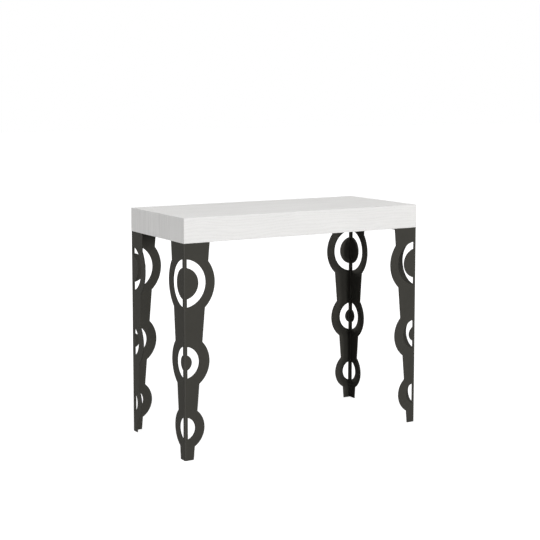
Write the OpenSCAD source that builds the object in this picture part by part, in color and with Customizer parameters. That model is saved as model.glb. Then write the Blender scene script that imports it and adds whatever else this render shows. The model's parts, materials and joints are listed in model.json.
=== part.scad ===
// Extending console table, closed. Two half tops pull apart in depth on two packs of telescopic bars.
// The origin is on the floor, under the middle of the top. +X runs along the long side to the right,
// -Y is the front, +Z is up. The rear half stays still and the front half moves forward.

/* [Table] */
// Width of the table along its long side
table_w = 900; // [840:10:1200]
// Depth of the closed table
table_d = 400; // [390:5:460]
// Height of the top face over the floor
table_h = 770; // [740:5:800]
// Height of the edge boards
edge_h = 80; // [76:1:110]
// Thickness of all boards
board_t = 18; // [16:1:20]
// Radius of the eased outer edges
arris_r = 1; // [0.5:0.1:2]
// Gap between the two half tops when closed
seam_gap = 0.3; // [0.3:0.1:1]

/* [Leg sheet] */
// Thickness of the leg sheet
sheet_t = 3; // [2:0.5:4]
// Inside radius of the fold
fold_r = 1; // [0.5:0.1:2]
// Width of each flange at the floor
foot_w = 31; // [26:1:45]
// Width of each flange under the top
head_w = 91; // [89:1:104]
// Width of the uncut strip beside the fold, on each flange
spine_w = 10.5; // [8:0.5:14]

/* [Leg rings] */
// Distance of the middle of the top ring below the head of the leg
top_ring_drop = 125.5; // [115:0.5:140]
// Outer radius of the top ring
top_ring_r = 108.5; // [100:0.5:115]
// Radius of the hole in the top ring
top_hole_r = 76.5; // [68:0.5:85]
// Radius of the disc in the top ring
top_disc_r = 50.5; // [40:0.5:58]
// Height of the middle of the second ring
mid_ring_z = 314; // [300:0.5:330]
// Outer radius of the second ring
mid_ring_r = 88.5; // [82:0.5:96]
// Radius of the hole in the second ring
mid_hole_r = 51.5; // [44:0.5:60]
// Radius of the disc in the second ring
mid_disc_r = 26; // [18:0.5:32]
// Height of the middle of the low ring
low_ring_z = 103; // [95:0.5:115]
// Outer radius of the low ring
low_ring_r = 69.5; // [60:0.5:75]
// Radius of the hole in the low ring
low_hole_r = 36.5; // [28:0.5:42]

/* [Leg fixing] */
// Width of the square mounting plate in the head of each leg, from the outer faces
plate_w = 88; // [84:1:89]
// Thickness of the mounting plate
plate_t = 4; // [3:0.5:6]
// Size of the cut corner of the mounting plate
plate_cut = 16; // [8:1:20]
// Side of the square corner block
block_w = 72; // [66:1:80]
// Size of the cut corner of the block
block_cut = 14; // [6:1:18]
// Distance of the first row of leg screws from the outer faces
screw_row_1 = 36; // [32:1:40]
// Distance of the second row of leg screws from the outer faces
screw_row_2 = 66; // [60:1:70]
// Radius of a leg screw
leg_screw_r = 3; // [2.5:0.5:4]
// Length of a leg screw under its head
leg_screw_len = 35; // [25:1:45]

/* [Bars] */
// Height of a bar
bar_h = 42; // [40:1:46]
// Thickness of a bar without its tongues
bar_t = 10; // [9:0.5:12]
// Free space between two neighbouring bars
bar_gap = 0.6; // [0.4:0.1:1]
// Room between each end of a bar and the edge boards
bar_end_room = 4; // [2:1:8]
// Room between the bars and the half tops
bar_top_room = 6; // [5:0.5:8]
// Travel of each bar on the one before it
stage_travel = 260; // [200:5:270]
// Height of a tongue over the face of its bar
tongue_h = 4.2; // [3.6:0.1:4.8]
// Width of a tongue at its root
tongue_root_w = 5; // [4.4:0.1:6]
// Width of a tongue at its tip
tongue_tip_w = 8.4; // [7.6:0.1:9]
// Distance between the middles of the two tongues
tongue_pitch = 23; // [21:0.5:25]
// Running clearance at each side and at the tip of a tongue
slide_clear = 0.3; // [0.2:0.05:0.4]
// Radius of the eased long edges of a bar
bar_edge_r = 1.5; // [1:0.5:3]
// Radius of a stop pin
pin_r = 2.5; // [2:0.25:3]
// Distance of a stop pin from the front end of its bar
pin_inset = 32; // [26:1:36]
// Depth to which a stop pin enters the next bar
pin_depth = 2.4; // [1.8:0.1:2.8]
// Clearance between a stop pin and each end of its slot
stop_clear = 0.5; // [0.3:0.1:1]

/* [Brackets] */
// Length of an angle bracket
bracket_l = 150; // [130:5:156]
// Width of the leaf under the top board
leaf_w = 25; // [23:1:28]
// How far the upright leaf reaches below its screws
leaf_below = 9; // [7:0.5:12]
// Thickness of an angle bracket
leaf_t = 3; // [2:0.5:4]
// Inside radius of the bracket's fold
leaf_fold_r = 2; // [1:0.5:3]
// Room between a bracket and the corner block beside it
bracket_room = 15; // [8:1:25]
// Distance between the screws of a bracket
bracket_screw_step = 55; // [45:1:60]
// Radius of a machine screw in a bar
bar_screw_r = 2.5; // [2:0.5:3]
// Depth to which a machine screw enters a bar
bar_screw_depth = 4.5; // [3:0.5:5]
// Radius of a wood screw
wood_screw_r = 2; // [1.5:0.25:2.5]
// Depth to which a wood screw enters a board
wood_screw_depth = 12; // [8:1:14]

/* [Dowels] */
// Radius of a dowel
dowel_r = 4; // [3:0.5:5]
// Depth of a dowel in the front half
dowel_depth = 25; // [18:1:32]
// Length of a dowel that stands out of the front half
dowel_out = 12; // [8:1:16]
// Distance of the outer dowels from the ends of the table
dowel_inset = 70; // [60:1:90]
// Clearance round a dowel in the rear half
dowel_clear = 0.2; // [0.1:0.05:0.4]

/* [Catches] */
// Distance of each catch from the middle of the table
catch_x = 120; // [100:5:140]
// Distance of the hook's pivot from the seam
pivot_in = 27; // [26:0.5:30]
// Distance of the keeper's stud from the seam
stud_in = 15; // [12:0.5:18]
// Thickness of the catch plate and of the keeper
plate_t_small = 2; // [1.5:0.5:2]
// Thickness of the hook
hook_t = 2.5; // [2:0.5:3]
// Width of the metal on each side of the hook's slot
hook_rim = 6; // [5:0.5:7]
// Radius of the rivet and of the stud
stud_r = 3; // [2.5:0.25:3.5]
// Radius of the heads of the rivet and of the stud
stud_head_r = 5.5; // [5:0.5:6]
// Thickness of those heads
stud_head_t = 1.8; // [1.5:0.1:2.2]
// Running clearance of the hook
hook_clear = 0.3; // [0.2:0.05:0.4]
// Length of the finger tab that hangs from the hook
tab_l = 14; // [10:1:20]

/* [Hidden] */
$fn = 48;
round_fn = 128;
bar_count = 7;
bar_numbers = [1:bar_count];

leg_h = table_h - edge_h;
panel_under = table_h - board_t;
half_w = table_w / 2;
half_d = table_d / 2;
seam_y = seam_gap / 2;
inner_x = half_w - board_t;
inner_y = half_d - board_t;
sheet_bend = sheet_t + fold_r;
// A hair of clearance round what is pressed, glued or screwed in
seat_clear = 0.05;
// Room past the tip of a screw or a dowel
tip_room = 0.3;
// Cut along the glued corner of a block
glue_ease = 0.5;
// How far a cutting shape runs past the face that it cuts
past = 1;

// Rings of a leg: height, outer radius, hole radius, disc radius
rings = [
    [leg_h - top_ring_drop, top_ring_r, top_hole_r, top_disc_r],
    [mid_ring_z, mid_ring_r, mid_hole_r, mid_disc_r],
    [low_ring_z, low_ring_r, low_hole_r, 0]
];

bar_len = 2 * (inner_y - bar_end_room);
bar_pitch = bar_t + bar_gap;
bar_top = panel_under - bar_top_room;
bar_mid_z = bar_top - bar_h / 2;
// Outer face of the first bar of a pack, from the middle of the table
pack_x = inner_x - block_w - bracket_room - leaf_w;
groove_depth = tongue_h - bar_gap + slide_clear;
flank = (tongue_tip_w - tongue_root_w) / 2 / tongue_h;
pin_y = -bar_len / 2 + pin_inset;

bracket_y = (seam_y + inner_y) / 2;
upright_h = bar_top_room + bar_h / 2 + leaf_below;
bracket_screws = [-bracket_screw_step, 0, bracket_screw_step];
machine_head_r = 1.8 * bar_screw_r;
machine_head_t = 1.1 * bar_screw_r;
wood_head_r = 1.9 * wood_screw_r;
wood_head_t = 0.9 * wood_screw_r;
leg_head_r = 1.75 * leg_screw_r;
leg_head_t = 1.1 * leg_screw_r;

dowel_x = [-(half_w - dowel_inset), 0, half_w - dowel_inset];
dowel_z = table_h - board_t / 2;

swing_r = pivot_in + seam_gap + stud_in;
hook_r = swing_r + stud_r + hook_clear + hook_rim;
hook_top = panel_under - plate_t_small - hook_clear;
hook_bottom = hook_top - hook_t;
head_top = hook_bottom - hook_clear;
hook_lead = 26;
hook_trail = 16;
hub_r = 9;
catch_plate = [-10, 30, -10, 22];
catch_screws = [[20, -3], [20, 14]];
keeper_half_w = 14;
keeper_back = 7;
keeper_front = 26;
keeper_screws = [[-8, -18], [8, -18]];

white_ash = "whitesmoke";
powder_grey = "#47443F";
bare_alu = "#C4C7CA";
zinc = "#A9ABAD";
beech = "#C9A577";
pine = "#D8BE92";

sides = [["left", -1], ["right", 1]];
halves = [["rear", 1], ["front", -1]];

// Puts a shape that is drawn for the right rear quarter into another quarter of the table
module in_quarter(side, half) {
    mirror([side < 0 ? 1 : 0, 0, 0])
        mirror([0, half < 0 ? 1 : 0, 0])
            children();
}

// A rectangle about the origin with round corners, made of true arcs
module round_rect(w, h, r) {
    square([w - 2 * r, h], center = true);
    square([w, h - 2 * r], center = true);
    for (x = [-1, 1], y = [-1, 1])
        translate([x * (w / 2 - r), y * (h / 2 - r)]) circle(r);
}

// Turns a drawing whose axes are X and Z into a bar along Y, centred on Y = 0
module along_y(length) {
    translate([0, length / 2, 0])
        rotate([90, 0, 0]) linear_extrude(length) children();
}

// Turns a drawing whose axes are Y and Z into a bar along X, centred on X = 0
module along_x(length) {
    translate([-length / 2, 0, 0])
        rotate([90, 0, 90]) linear_extrude(length) children();
}

// The outer form of the closed top, with all its outer edges eased
module case_form() {
    mid_z = table_h - edge_h / 2;
    intersection() {
        translate([0, 0, leg_h])
            linear_extrude(edge_h) round_rect(table_w, table_d, arris_r);
        along_y(table_d) translate([0, mid_z]) round_rect(table_w, edge_h, arris_r);
        along_x(table_w) translate([0, mid_z]) round_rect(table_d, edge_h, arris_r);
    }
}

// Mitred top board of a half, drawn for the rear
module top_board() {
    t = board_t;
    intersection() {
        case_form();
        along_y(table_d)
            polygon([[-half_w, table_h], [half_w, table_h],
                     [half_w - t, table_h - t], [-half_w + t, table_h - t]]);
        along_x(table_w)
            polygon([[seam_y, table_h], [half_d, table_h],
                     [half_d - t, table_h - t], [seam_y, table_h - t]]);
    }
}

// Mitred long edge board of a half, drawn for the rear
module long_edge() {
    t = board_t;
    color(white_ash) intersection() {
        case_form();
        along_x(table_w)
            polygon([[half_d, table_h], [half_d, leg_h], [half_d - t, leg_h],
                     [half_d - t, table_h - t]]);
        translate([0, 0, leg_h]) linear_extrude(edge_h)
            polygon([[-half_w, half_d], [half_w, half_d],
                     [half_w - t, half_d - t], [-half_w + t, half_d - t]]);
    }
}

// Mitred end edge board, drawn for the right end of the rear half
module end_edge() {
    t = board_t;
    color(white_ash) intersection() {
        case_form();
        along_y(table_d)
            polygon([[half_w, table_h], [half_w, leg_h], [half_w - t, leg_h],
                     [half_w - t, table_h - t]]);
        translate([0, 0, leg_h]) linear_extrude(edge_h)
            polygon([[half_w, seam_y], [half_w, half_d],
                     [half_w - t, half_d - t], [half_w - t, seam_y]]);
    }
}

// Places its children at each wood screw of a half, on the underside of the top board
module at_wood_screws() {
    for (s = [-1, 1])
        mirror([s < 0 ? 1 : 0, 0, 0])
            for (y = bracket_screws)
                translate([pack_x + leaf_w / 2 + leaf_t / 2, bracket_y + y, panel_under])
                    children();
}

// Places its children at each catch screw of the rear half
module at_catch_screws() {
    for (s = [-1, 1])
        mirror([s < 0 ? 1 : 0, 0, 0])
            for (p = catch_screws)
                translate([catch_x + p[0], seam_y + pivot_in + p[1], panel_under])
                    children();
}

// Places its children at each keeper screw of the front half
module at_keeper_screws() {
    for (s = [-1, 1])
        mirror([s < 0 ? 1 : 0, 0, 0])
            for (p = keeper_screws)
                translate([catch_x + p[0], -seam_y - stud_in + p[1], panel_under])
                    children();
}

// Hole for a wood screw, up into a board whose underside is at Z = 0
module wood_screw_hole() {
    translate([0, 0, -past])
        cylinder(r = wood_screw_r + seat_clear, h = past + wood_screw_depth + tip_room);
}

module rear_top_panel() {
    color(white_ash) difference() {
        top_board();
        at_wood_screws() wood_screw_hole();
        at_catch_screws() wood_screw_hole();
        for (x = dowel_x)
            translate([x, seam_y - past, dowel_z]) rotate([-90, 0, 0])
                cylinder(r = dowel_r + dowel_clear, h = past + dowel_out + tip_room);
    }
}

module front_top_panel() {
    color(white_ash) difference() {
        mirror([0, 1, 0]) top_board();
        mirror([0, 1, 0]) at_inner_wood_screws() wood_screw_hole();
        at_keeper_screws() wood_screw_hole();
        for (x = dowel_x)
            translate([x, -seam_y + past, dowel_z]) rotate([90, 0, 0])
                cylinder(r = dowel_r + seat_clear, h = past + dowel_depth + tip_room);
    }
}

// One flange of a leg, drawn flat: across is the distance from the fold, up is the height
module flange() {
    intersection() {
        translate([sheet_bend, 0]) square([top_ring_r + head_w, leg_h]);
        difference() {
            union() {
                polygon([[0, 0], [foot_w, 0], [head_w, leg_h], [0, leg_h]]);
                for (g = rings) translate([0, g[0]]) circle(g[1], $fn = round_fn);
            }
            for (g = rings) difference() {
                translate([0, g[0]]) circle(g[2], $fn = round_fn);
                square([spine_w, leg_h]);
                if (g[3] > 0) translate([0, g[0]]) circle(g[3], $fn = round_fn);
            }
        }
    }
}

// A folded leg with its outer corner on the Z axis; its flanges run along -X and -Y
module leg() {
    color(powder_grey) {
        upright_flange();
        mirror([1, -1, 0]) upright_flange();
        translate([-sheet_bend, -sheet_bend, 0]) linear_extrude(leg_h)
            intersection() {
                difference() {
                    circle(sheet_bend);
                    circle(fold_r);
                }
                square(sheet_bend + past);
            }
    }
}

// A flange stood up, with its outer face in the plane of the X and Z axes
module upright_flange() {
    rotate([90, 0, 0]) linear_extrude(sheet_t) mirror([1, 0]) flange();
}

// Places its children at the four screws of a leg, from the outer corner of the table
module at_leg_screws() {
    for (x = [screw_row_1, screw_row_2], y = [screw_row_1, screw_row_2])
        translate([-x, -y, leg_h]) children();
}

// A square with two opposite corners cut off, from a to b in both directions
module cut_square(a, b, outer_cut, inner_cut) {
    polygon([[-a - outer_cut, -a], [-b, -a], [-b, -b + inner_cut], [-b + inner_cut, -b],
             [-a, -b], [-a, -a - outer_cut]]);
}

// The mounting plate welded into the head of a leg
module leg_plate() {
    color(powder_grey) difference() {
        translate([0, 0, leg_h - plate_t]) linear_extrude(plate_t)
            cut_square(sheet_t, plate_w, fold_r, plate_cut);
        at_leg_screws() translate([0, 0, -plate_t - past])
            cylinder(r = leg_screw_r + slide_clear, h = plate_t + 2 * past);
    }
}

// The block glued into a corner of the edge boards
module corner_block() {
    color(pine) difference() {
        translate([0, 0, leg_h]) linear_extrude(edge_h - board_t)
            cut_square(board_t, board_t + block_w, glue_ease, block_cut);
        at_leg_screws() translate([0, 0, -past])
            cylinder(r = leg_screw_r + seat_clear, h = past + leg_screw_len - plate_t + tip_room);
    }
}

// A screw that points up, with the underside of its head at Z = 0 and a six-sided socket
module screw(r, length, head_r, head_t) {
    cylinder(r = r, h = length);
    translate([0, 0, -head_t]) difference() {
        union() {
            translate([0, 0, head_t / 2]) cylinder(r = head_r, h = head_t / 2);
            cylinder(r1 = 0.75 * head_r, r2 = head_r, h = head_t / 2);
        }
        translate([0, 0, -past]) cylinder(r = 0.5 * head_r, h = past + 0.6 * head_t, $fn = 6);
    }
}

module wood_screw(plate) {
    translate([0, 0, -plate])
        screw(wood_screw_r, plate + wood_screw_depth, wood_head_r, wood_head_t);
}

module leg_screws() {
    color(zinc)
        for (s = [-1, 1])
            mirror([s < 0 ? 1 : 0, 0, 0])
                translate([half_w, half_d, 0])
                    at_leg_screws() translate([0, 0, -plate_t])
                        screw(leg_screw_r, leg_screw_len, leg_head_r, leg_head_t);
}

// Trapezium of a tongue or a groove: it starts at the face of a bar and widens away from it
module dovetail(root_w, depth) {
    tip_w = root_w + 2 * flank * depth;
    polygon([[0, -root_w / 2], [depth, -tip_w / 2], [depth, tip_w / 2], [0, root_w / 2]]);
}

// Section of a bar: across is X from its outer face, up is Z from its middle
module bar_section(has_groove, has_tongue) {
    // The groove is the neighbour's tongue, seen from across the gap, with clearance all round
    mouth_w = tongue_root_w + 2 * flank * bar_gap + 2 * slide_clear;
    difference() {
        union() {
            translate([bar_t / 2, 0]) round_rect(bar_t, bar_h, bar_edge_r);
            if (has_tongue)
                for (z = [-1, 1])
                    translate([bar_t, z * tongue_pitch / 2]) dovetail(tongue_root_w, tongue_h);
        }
        if (has_groove)
            for (z = [-1, 1])
                translate([0, z * tongue_pitch / 2]) dovetail(mouth_w, groove_depth);
    }
}

// The slot that the neighbour's stop pin runs in, cut into the outer face
module stop_slot() {
    half = pin_r + slide_clear;
    first = pin_y - pin_r - stop_clear;
    last = pin_y + stage_travel + pin_r + stop_clear;
    translate([-past, first, -half])
        cube([past + pin_depth + slide_clear, last - first, 2 * half]);
}

// Screw holes of a bracket in a bar, from the face at X = 0 towards +X
module bar_screw_holes() {
    for (y = bracket_screws)
        translate([-past, y, 0]) rotate([0, 90, 0])
            cylinder(r = bar_screw_r + seat_clear, h = past + bar_screw_depth + tip_room);
}

// Bar number i of the right pack, counted from the outside; its tongues point to the middle
module rail_bar(i) {
    first = i == 1;
    last = i == bar_count;
    color(bare_alu) translate([pack_x - (i - 1) * bar_pitch, 0, bar_mid_z]) mirror([1, 0, 0]) {
        difference() {
            along_y(bar_len) bar_section(!first, !last);
            if (!first) stop_slot();
            if (first) translate([0, bracket_y, 0]) bar_screw_holes();
            if (last)
                translate([bar_t, -bracket_y, 0]) mirror([1, 0, 0]) bar_screw_holes();
        }
        if (!last)
            translate([bar_t - past, pin_y, 0]) rotate([0, 90, 0])
                cylinder(r = pin_r, h = past + bar_gap + pin_depth);
    }
}

// Section of an angle bracket: it stands on the Z axis and its upper leaf runs to +X
module angle_section() {
    bend = leaf_t + leaf_fold_r;
    translate([0, -upright_h]) square([leaf_t, upright_h - bend]);
    translate([bend, -leaf_t]) square([leaf_w - bend, leaf_t]);
    intersection() {
        translate([bend, -bend]) difference() {
            circle(bend);
            circle(leaf_fold_r);
        }
        translate([0, -bend]) square(bend);
    }
}

// An angle bracket against a bar's face at X = 0, with its top on the board above
module bracket() {
    color(zinc) difference() {
        translate([0, bracket_y, panel_under]) along_y(bracket_l) angle_section();
        for (y = bracket_screws) {
            translate([leaf_w / 2 + leaf_t / 2, bracket_y + y, panel_under - leaf_t - past])
                cylinder(r = wood_screw_r + slide_clear, h = leaf_t + 2 * past);
            translate([-past, bracket_y + y, bar_mid_z]) rotate([0, 90, 0])
                cylinder(r = bar_screw_r + slide_clear, h = leaf_t + 2 * past);
        }
    }
}

// Machine screws through a bracket that stands at X = 0, into the bar beside it
module bar_screws() {
    for (y = bracket_screws)
        translate([leaf_t, bracket_y + y, bar_mid_z]) rotate([0, -90, 0])
            screw(bar_screw_r, leaf_t + bar_screw_depth, machine_head_r, machine_head_t);
}

// Moves a bracket of the right pack to its bar; a rear one holds the first bar, a front one the last
module at_rear_bracket() {
    translate([pack_x, 0, 0]) children();
}

module at_front_bracket() {
    translate([pack_x - (bar_count - 1) * bar_pitch - bar_t, 0, 0])
        mirror([1, 0, 0]) mirror([0, 1, 0]) children();
}

// Places its children at each wood screw of the front brackets, mirrored to the rear
module at_inner_wood_screws() {
    for (s = [-1, 1])
        mirror([s < 0 ? 1 : 0, 0, 0])
            for (y = bracket_screws)
                translate([pack_x - (bar_count - 1) * bar_pitch - bar_t - leaf_w / 2 - leaf_t / 2,
                           bracket_y + y, panel_under])
                    children();
}

module rear_bracket_screws() {
    color(zinc) {
        at_wood_screws() wood_screw(leaf_t);
        for (s = [-1, 1]) mirror([s < 0 ? 1 : 0, 0, 0]) at_rear_bracket() bar_screws();
    }
}

module front_bracket_screws() {
    color(zinc) {
        mirror([0, 1, 0]) at_inner_wood_screws() wood_screw(leaf_t);
        for (s = [-1, 1]) mirror([s < 0 ? 1 : 0, 0, 0]) at_front_bracket() bar_screws();
    }
}

module alignment_dowels() {
    chamfer = 1;
    color(beech)
        for (x = dowel_x)
            translate([x, -seam_y - dowel_depth, dowel_z]) rotate([-90, 0, 0]) {
                length = dowel_depth + seam_gap + dowel_out;
                cylinder(r = dowel_r, h = length - chamfer);
                translate([0, 0, length - chamfer])
                    cylinder(r1 = dowel_r, r2 = dowel_r - chamfer, h = chamfer);
            }
}

// Moves its children to the pivot of the right catch
module at_pivot() {
    translate([catch_x, seam_y + pivot_in, 0]) children();
}

module catch_plate() {
    color(zinc) at_pivot() difference() {
        translate([catch_plate[0], catch_plate[2], panel_under - plate_t_small])
            cube([catch_plate[1] - catch_plate[0], catch_plate[3] - catch_plate[2], plate_t_small]);
        translate([0, 0, panel_under - plate_t_small - past])
            cylinder(r = stud_r + seat_clear, h = plate_t_small + 2 * past);
        for (p = catch_screws)
            translate([p[0], p[1], panel_under - plate_t_small - past])
                cylinder(r = wood_screw_r + slide_clear, h = plate_t_small + 2 * past);
    }
}

// Rivet or stud: a shank down from the board, and a head under the hook
module stud(shank_top) {
    translate([0, 0, head_top - past / 2]) cylinder(r = stud_r, h = shank_top - head_top + past / 2);
    translate([0, 0, head_top - stud_head_t]) cylinder(r = stud_head_r, h = stud_head_t);
}

module catch_rivet() {
    color(zinc) at_pivot() stud(panel_under);
}

// Wedge between two directions, long enough for the hook
module wedge(from, to) {
    reach = 2 * hook_r;
    polygon([[0, 0], reach * [cos(from), sin(from)], reach * [cos(to), sin(to)]]);
}

// The swinging hook, drawn with its arm towards -X and its open side towards -Y
module hook_drawing() {
    slot = stud_r + hook_clear;
    arm = 180;
    difference() {
        union() {
            circle(hub_r);
            intersection() {
                circle(hook_r, $fn = round_fn);
                wedge(arm - hook_trail, arm + hook_lead);
            }
        }
        circle(stud_r + hook_clear / 3);
        intersection() {
            difference() {
                circle(swing_r + slot, $fn = round_fn);
                circle(swing_r - slot, $fn = round_fn);
            }
            wedge(arm, arm + 2 * hook_lead);
        }
        rotate(arm) translate([swing_r, 0]) circle(slot);
    }
}

module catch_hook() {
    color(zinc) at_pivot() {
        translate([0, 0, hook_bottom]) linear_extrude(hook_t) hook_drawing();
        rotate(180 - hook_trail)
            translate([hook_r - 2 * hook_rim, 0, hook_bottom - tab_l])
                cube([2 * hook_rim - hook_t, hook_t, tab_l + hook_t / 2]);
    }
}

module keeper() {
    color(zinc) translate([catch_x, -seam_y - stud_in, 0]) {
        difference() {
            translate([-keeper_half_w, -keeper_front, panel_under - plate_t_small])
                cube([2 * keeper_half_w, keeper_front + keeper_back, plate_t_small]);
            for (p = keeper_screws)
                translate([p[0], p[1], panel_under - plate_t_small - past])
                    cylinder(r = wood_screw_r + slide_clear, h = plate_t_small + 2 * past);
        }
        stud(panel_under - plate_t_small / 2);
    }
}

module catch_screws() {
    color(zinc) at_catch_screws() wood_screw(plate_t_small);
}

module keeper_screws() {
    color(zinc) at_keeper_screws() wood_screw(plate_t_small);
}

// Each half: the boards, then the pieces of each of its two ends
for (h = halves) {
    in_quarter(1, h[1]) long_edge();
    in_quarter(1, h[1]) leg_screws();
    for (s = sides) {
        corner = str(h[0], "_", s[0]);
        in_quarter(s[1], h[1]) end_edge();
        in_quarter(s[1], h[1]) translate([half_w, half_d, 0]) corner_block();
        in_quarter(s[1], h[1]) translate([half_w, half_d, 0]) leg();
        in_quarter(s[1], h[1]) translate([half_w, half_d, 0]) leg_plate();
    }
}
rear_top_panel();
front_top_panel();
rear_bracket_screws();
front_bracket_screws();

// Each side: a pack of bars with its two brackets, and a catch
for (s = sides) {
    for (i = bar_numbers)
        in_quarter(s[1], 1) rail_bar(i);
    in_quarter(s[1], 1) at_rear_bracket() bracket();
    in_quarter(s[1], 1) at_front_bracket() bracket();
    in_quarter(s[1], 1) catch_plate();
    in_quarter(s[1], 1) catch_hook();
    in_quarter(s[1], 1) catch_rivet();
    in_quarter(s[1], 1) keeper();
}
alignment_dowels();
catch_screws();
keeper_screws();
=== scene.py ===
# %% [markdown]
# An extending console table
#
# The object is a narrow white table on four legs of folded sheet steel. Its top is two halves, which pull
# apart on packs of sliding bars. Every solid piece comes from the construction model at its real size, so
# this lesson is about finishes, and about what is too fine for that model: the drives and threads of the
# screws, the welds inside the legs, and the flutes of the dowels.

# %% Load the construction model
import json
import math
from collections import namedtuple

import bmesh
import bpy
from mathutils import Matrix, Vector

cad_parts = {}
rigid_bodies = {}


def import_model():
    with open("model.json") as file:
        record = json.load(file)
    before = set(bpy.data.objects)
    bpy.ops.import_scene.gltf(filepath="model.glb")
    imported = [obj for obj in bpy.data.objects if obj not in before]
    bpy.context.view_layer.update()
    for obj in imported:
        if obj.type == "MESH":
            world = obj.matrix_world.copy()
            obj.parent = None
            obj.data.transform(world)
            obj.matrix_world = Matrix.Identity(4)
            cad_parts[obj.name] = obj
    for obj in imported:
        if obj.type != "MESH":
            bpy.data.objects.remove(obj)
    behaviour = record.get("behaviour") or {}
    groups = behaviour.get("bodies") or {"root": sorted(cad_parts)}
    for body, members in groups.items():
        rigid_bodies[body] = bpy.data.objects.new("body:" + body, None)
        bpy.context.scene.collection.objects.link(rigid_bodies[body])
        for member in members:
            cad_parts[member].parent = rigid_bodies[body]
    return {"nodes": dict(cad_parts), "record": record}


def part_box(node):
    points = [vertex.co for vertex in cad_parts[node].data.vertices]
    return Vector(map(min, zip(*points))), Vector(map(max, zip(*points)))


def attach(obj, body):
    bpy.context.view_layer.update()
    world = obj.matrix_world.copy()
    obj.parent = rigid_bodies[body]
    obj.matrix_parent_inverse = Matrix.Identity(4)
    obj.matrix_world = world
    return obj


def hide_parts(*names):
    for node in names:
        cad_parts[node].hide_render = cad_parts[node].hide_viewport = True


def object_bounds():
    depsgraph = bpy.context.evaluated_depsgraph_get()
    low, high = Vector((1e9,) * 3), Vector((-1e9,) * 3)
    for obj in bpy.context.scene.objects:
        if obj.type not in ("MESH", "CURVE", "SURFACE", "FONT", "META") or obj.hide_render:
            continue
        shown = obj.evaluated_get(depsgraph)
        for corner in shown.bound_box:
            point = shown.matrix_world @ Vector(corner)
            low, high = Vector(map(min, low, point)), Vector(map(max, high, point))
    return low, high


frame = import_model()
nodes = frame["nodes"]
cad_low, cad_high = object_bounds()
print("Construction model, size in metres:", [round(v, 4) for v in cad_high - cad_low])

# %% [markdown]
# The camera
#
# The table is seen from its front left corner, from a little above its top. A long lens from four metres
# away keeps its proportions, where a wide one close by would stretch the near corner. The table stands below
# the camera. Tilting the camera down brings it into the frame, but makes the legs run together towards the
# floor. Shifting the lens, as on a camera for buildings, keeps them upright, but a large shift would push the
# table out of the frame in views from other sides. So each does a part of it.

# %% Camera
LENS_MM = 78.32
SENSOR_MM = 36.0
LENS_SHIFT = -0.12
CAMERA_PLACE = (-2.0445, -3.4464, 1.153)
CAMERA_TURN = math.radians(-30.396)
CAMERA_TILT = math.radians(90 - 5.425)

camera_data = bpy.data.cameras.new("camera")
camera_data.sensor_width = SENSOR_MM
camera_data.lens = LENS_MM
camera_data.shift_y = LENS_SHIFT
camera = bpy.data.objects.new("camera", camera_data)
camera.location = CAMERA_PLACE
camera.rotation_euler = (CAMERA_TILT, 0.0, CAMERA_TURN)
bpy.context.scene.collection.objects.link(camera)
bpy.context.scene.camera = camera
bpy.context.scene.view_settings.view_transform = "Standard"
print("Camera at", tuple(round(v, 3) for v in camera.location))

# %% [markdown]
# Helpers for node trees
#
# Finishes and repeated pieces are both made of nodes, and a tree of them is easier to read in code when one
# line makes one node. The first helper adds a node, sets it up and fills its sockets, either with a value
# or with a link from another node. The next two do a sum. The last starts a node group with named inputs
# and outputs, so that an effect is built once and used in several finishes.


# %% Node helpers
def add(tree, kind, inputs=None, **settings):
    """Adds a node, sets its properties, and fills its inputs, by number where several share a name."""
    made = tree.nodes.new(kind)
    for name, value in settings.items():
        setattr(made, name, value)
    for key, value in (inputs or {}).items():
        if isinstance(value, bpy.types.NodeSocket):
            tree.links.new(value, made.inputs[key])
        else:
            made.inputs[key].default_value = value
    return made


def calculate(tree, operation, first, second=0.0):
    """The result of a sum on two values or sockets."""
    return add(tree, "ShaderNodeMath", {0: first, 1: second}, operation=operation).outputs[0]


def calculate_vector(tree, operation, first, second):
    """The result of a sum on two vectors."""
    return add(tree, "ShaderNodeVectorMath", {0: first, 1: second}, operation=operation).outputs[0]


def new_group(name, kind, inputs, outputs):
    """An empty node group, its input sockets by name, and its output node.

    An input is given as the value that it starts with, or as its kind of socket where it needs none.
    """
    group = bpy.data.node_groups.new(name, kind)
    for label, start in inputs.items():
        socket = {int: "Int", float: "Float"}.get(type(start), start)
        made = group.interface.new_socket(label, in_out="INPUT", socket_type="NodeSocket" + socket)
        if socket != start:
            made.default_value = start
    for label, socket in outputs.items():
        group.interface.new_socket(label, in_out="OUTPUT", socket_type="NodeSocket" + socket)
    given = group.nodes.new("NodeGroupInput").outputs
    return group, given, group.nodes.new("NodeGroupOutput")


print("Helpers for nodes: add, calculate, calculate_vector, new_group")

# %% [markdown]
# The studio
#
# The table stands on a white floor in a white room without corners. A white world would be the short way,
# but its light comes evenly from all sides, and the faces of the table would all look alike. So the world
# and the floor ask which kind of ray meets them. The camera and the reflections see white, while the light
# that falls on the table from them is dim, and lamps shape it.


# %% World
def seen_directly(tree):
    """1 for camera, glossy and transmission rays, and 0 for the rays that light a matt surface."""
    path = add(tree, "ShaderNodeLightPath").outputs
    camera_or_gloss = calculate(tree, "MAXIMUM", path["Is Camera Ray"], path["Is Glossy Ray"])
    return calculate(tree, "MAXIMUM", camera_or_gloss, path["Is Transmission Ray"])


def either(tree, share, first, second):
    """The first shader where the share is 0, and the second where it is 1."""
    return add(tree, "ShaderNodeMixShader", {0: share, 1: first, 2: second}).outputs[0]


WHITE = (1.0, 1.0, 1.0, 1.0)
AMBIENT = 0.03

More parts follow.
